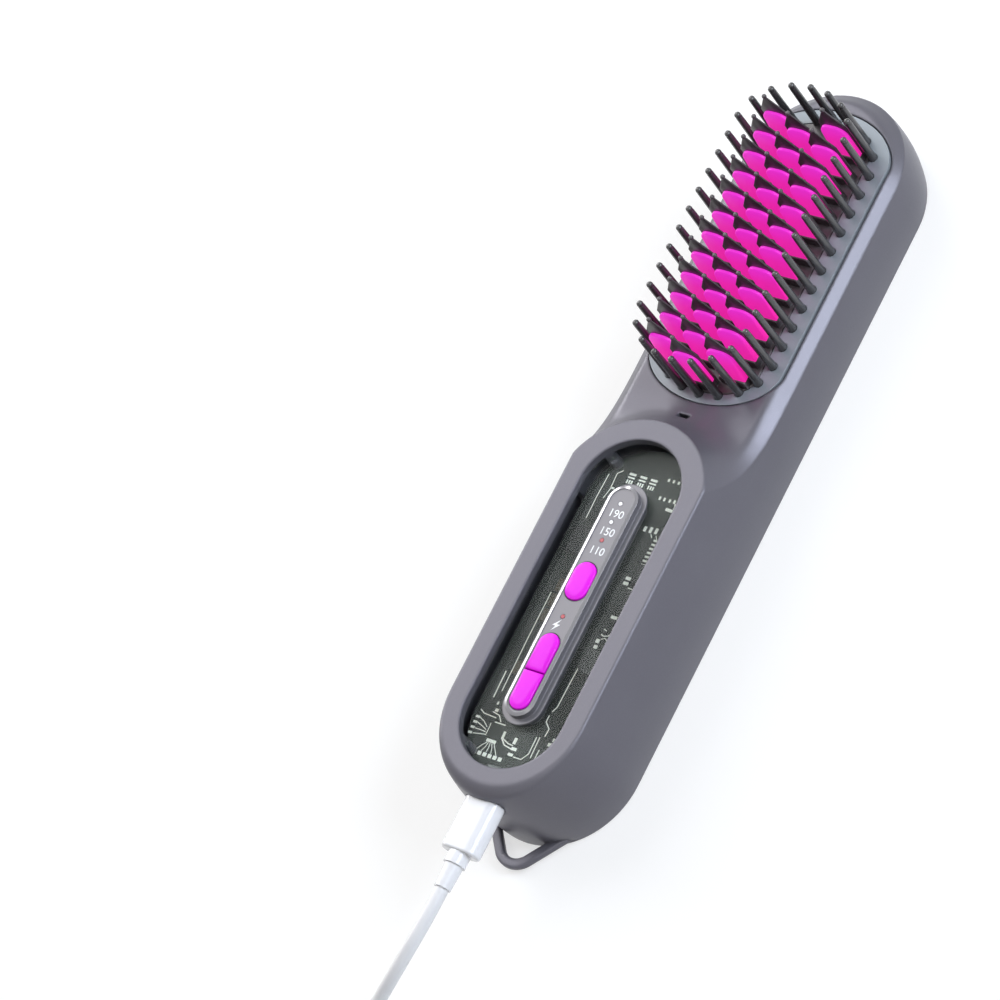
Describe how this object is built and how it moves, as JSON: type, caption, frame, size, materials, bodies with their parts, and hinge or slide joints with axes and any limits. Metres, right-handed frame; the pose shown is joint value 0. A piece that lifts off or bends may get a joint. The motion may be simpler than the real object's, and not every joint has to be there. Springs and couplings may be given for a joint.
{
  "type": "hair straightening brush",
  "caption": "Cordless heated hair straightening brush with heated fins between guard blades, ring of plain bristles, clear control window, press buttons, hanging loop and a charging lead",
  "frame": {"origin": "middle of the flat back, which lies on the floor", "axes": "+Y runs along the brush toward the bristle head, +Z points out of the bristle side, +X is across"},
  "size_m": [0.0536, 0.3386, 0.0414],
  "materials": {
    "shell": "satin metallic paint",
    "trim_grey": "satin",
    "clear": "clear polished",
    "button": "gloss",
    "dark_polymer": "fine matte",
    "fin_coat": "satin coating",
    "ceramic": "matte",
    "mica": "silky",
    "steel": "brushed",
    "board": "satin lacquer",
    "chip": "matte",
    "cell_wrap": "shrink film",
    "foam": "open foam",
    "white_polymer": "soft gloss",
    "cord_white": "smooth"
  },
  "bodies": {
    "brush": {"main_housing": "shell", "rear_cover": "shell", "hanging_loop": "shell", "window_lens": "clear", "control_strip": "trim_grey", "light_guides": "clear", "head_insert": "trim_grey", "bristle_ring": "dark_polymer", "tip_guard": "dark_polymer", "heating_comb": "fin_coat", "ceramic_heater": "ceramic", "mica_sheet": "mica", "heater_clamp": "steel", "clamp_screws": "steel", "thermal_fuse": "ceramic", "thermistor": "chip", "ion_module": "dark_polymer", "ion_needle": "steel", "ion_pad": "foam", "circuit_board": "board", "switch_bodies": "chip", "status_leds": "clear", "controller_chip": "chip", "power_transistors": "chip", "inductor": "chip", "capacitors": "mica", "board_connectors": "white_polymer", "usb_receptacle": "steel", "usb_tongue": "chip", "chassis": "dark_polymer", "board_screws": "steel", "battery_cell": "cell_wrap", "battery_pad_lower": "foam", "battery_pad_upper": "foam", "battery_leads": "chip", "heater_leads": "chip"},
    "temp_key": {"temp_button": "button", "temp_plunger": "dark_polymer"},
    "upper_key": {"power_key_upper": "button", "power_plunger_upper": "dark_polymer"},
    "lower_key": {"power_key_lower": "button", "power_plunger_lower": "dark_polymer"},
    "charging_lead": {"plug_shell": "steel", "plug_overmould": "white_polymer", "plug_relief": "white_polymer", "charging_cable": "cord_white", "cable_coil": "cord_white", "cable_tail": "cord_white", "cable_tie": "white_polymer", "usb_a_overmould": "white_polymer", "usb_a_shell": "steel", "usb_a_tongue": "white_polymer"}
  },
  "joints": [
    {"name": "temp_press", "type": "slide", "parent": "brush", "child": "temp_key", "axis": [0, 0, -1], "range_m": [0, 0.0005], "stiffness_N_per_m": 800, "springref_m": -0.0005},
    {"name": "upper_press", "type": "slide", "parent": "brush", "child": "upper_key", "axis": [0, 0, -1], "range_m": [0, 0.0005], "stiffness_N_per_m": 800, "springref_m": -0.0005},
    {"name": "lower_press", "type": "slide", "parent": "brush", "child": "lower_key", "axis": [0, 0, -1], "range_m": [0, 0.0005], "stiffness_N_per_m": 800, "springref_m": -0.0005},
    {"name": "plug_pull", "type": "slide", "parent": "brush", "child": "charging_lead", "axis": [0, -1, 0], "range_m": [0, 0.012]}
  ]
}
